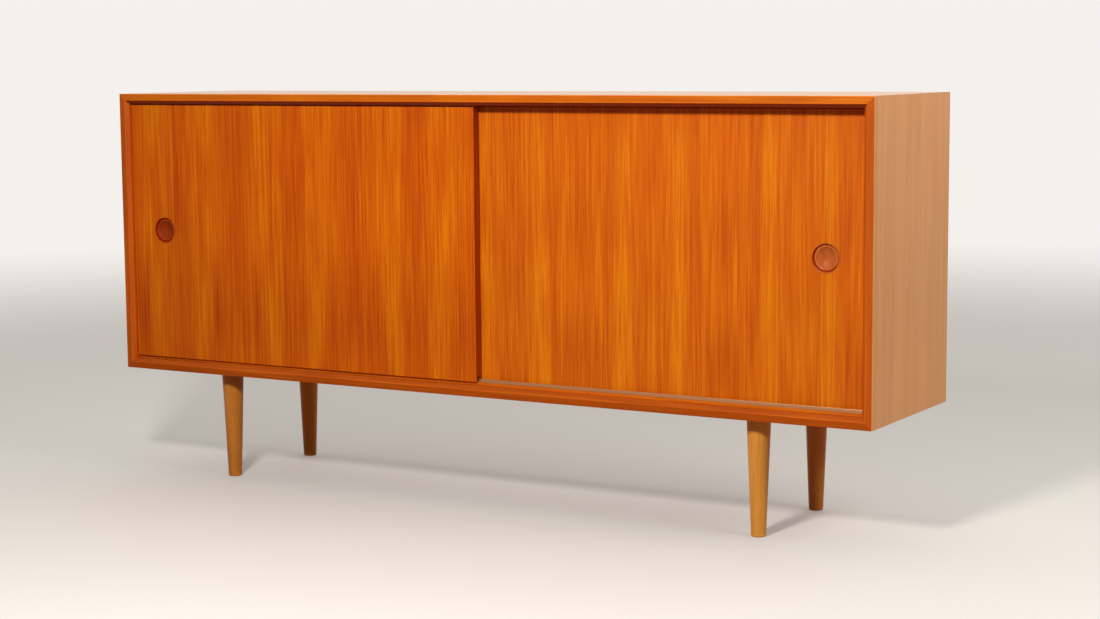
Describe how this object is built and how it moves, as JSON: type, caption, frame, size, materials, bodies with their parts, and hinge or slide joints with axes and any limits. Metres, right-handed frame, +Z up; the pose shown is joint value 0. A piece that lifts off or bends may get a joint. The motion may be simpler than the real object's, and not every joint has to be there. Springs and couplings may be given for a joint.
{
  "type": "sideboard buffet",
  "caption": "Low teak sideboard on turned tapered legs, with a mitred case, a chamfered front edge, two overlapping sliding doors with round recessed finger pulls, and shelves inside.",
  "frame": {"origin": "on the floor, under the middle of the case", "axes": "+X along the length to the right-hand end as seen from the front, +Y from the doors to the back, +Z up"},
  "size_m": [1.634, 0.357, 0.774],
  "materials": {
    "teak_veneer": "satin oiled teak veneer",
    "teak_edging": "satin oiled solid teak",
    "turned_teak": "satin turned teak",
    "back_veneer": "matte veneer on board",
    "oak": "satin lacquered oak",
    "beech": "plain beech",
    "aluminium": "extruded, bronze anodised",
    "zinc_steel": "zinc plated",
    "brass": "drawn, satin",
    "glide_plastic": "moulded"
  },
  "bodies": {
    "case": {"back_panel": "back_veneer", "back_screw_bottom_1": "zinc_steel", "back_screw_bottom_2": "zinc_steel", "back_screw_bottom_3": "zinc_steel", "back_screw_bottom_4": "zinc_steel", "back_screw_left": "zinc_steel", "back_screw_right": "zinc_steel", "back_screw_top_1": "zinc_steel", "back_screw_top_2": "zinc_steel", "back_screw_top_3": "zinc_steel", "back_screw_top_4": "zinc_steel", "bottom_front_edging": "teak_edging", "bottom_panel": "teak_veneer", "centre_divider": "teak_veneer", "divider_dowel_bottom_back": "beech", "divider_dowel_bottom_front": "beech", "divider_dowel_top_back": "beech", "divider_dowel_top_front": "beech", "front_rail_base": "teak_edging", "front_rail_blade": "aluminium", "left_front_edging": "teak_edging", "left_shelf": "teak_veneer", "left_shelf_pin_inner_back": "brass", "left_shelf_pin_inner_front": "brass", "left_shelf_pin_outer_back": "brass", "left_shelf_pin_outer_front": "brass", "left_side_panel": "teak_veneer", "leg_back_left": "oak", "leg_back_right": "oak", "leg_bolt_back_left": "zinc_steel", "leg_bolt_back_right": "zinc_steel", "leg_bolt_front_left": "zinc_steel", "leg_bolt_front_right": "zinc_steel", "leg_front_left": "oak", "leg_front_right": "oak", "leg_nut_back_left": "zinc_steel", "leg_nut_back_right": "zinc_steel", "leg_nut_front_left": "zinc_steel", "leg_nut_front_right": "zinc_steel", "rear_rail_base": "teak_edging", "rear_rail_blade": "aluminium", "right_front_edging": "teak_edging", "right_shelf": "teak_veneer", "right_shelf_pin_inner_back": "brass", "right_shelf_pin_inner_front": "brass", "right_shelf_pin_outer_back": "brass", "right_shelf_pin_outer_front": "brass", "right_side_panel": "teak_veneer", "top_front_edging": "teak_edging", "top_panel": "teak_veneer"},
    "left_door": {"left_door_finger_pull": "turned_teak", "left_door_glide_left": "glide_plastic", "left_door_glide_right": "glide_plastic", "left_door_panel": "teak_veneer"},
    "right_door": {"right_door_finger_pull": "turned_teak", "right_door_glide_left": "glide_plastic", "right_door_glide_right": "glide_plastic", "right_door_panel": "teak_veneer"}
  },
  "joints": [
    {"name": "left_door_slide", "type": "slide", "parent": "case", "child": "left_door", "axis": [1, 0, 0], "range_m": [0, 0.7707]},
    {"name": "right_door_slide", "type": "slide", "parent": "case", "child": "right_door", "axis": [1, 0, 0], "range_m": [-0.7707, 0]}
  ]
}
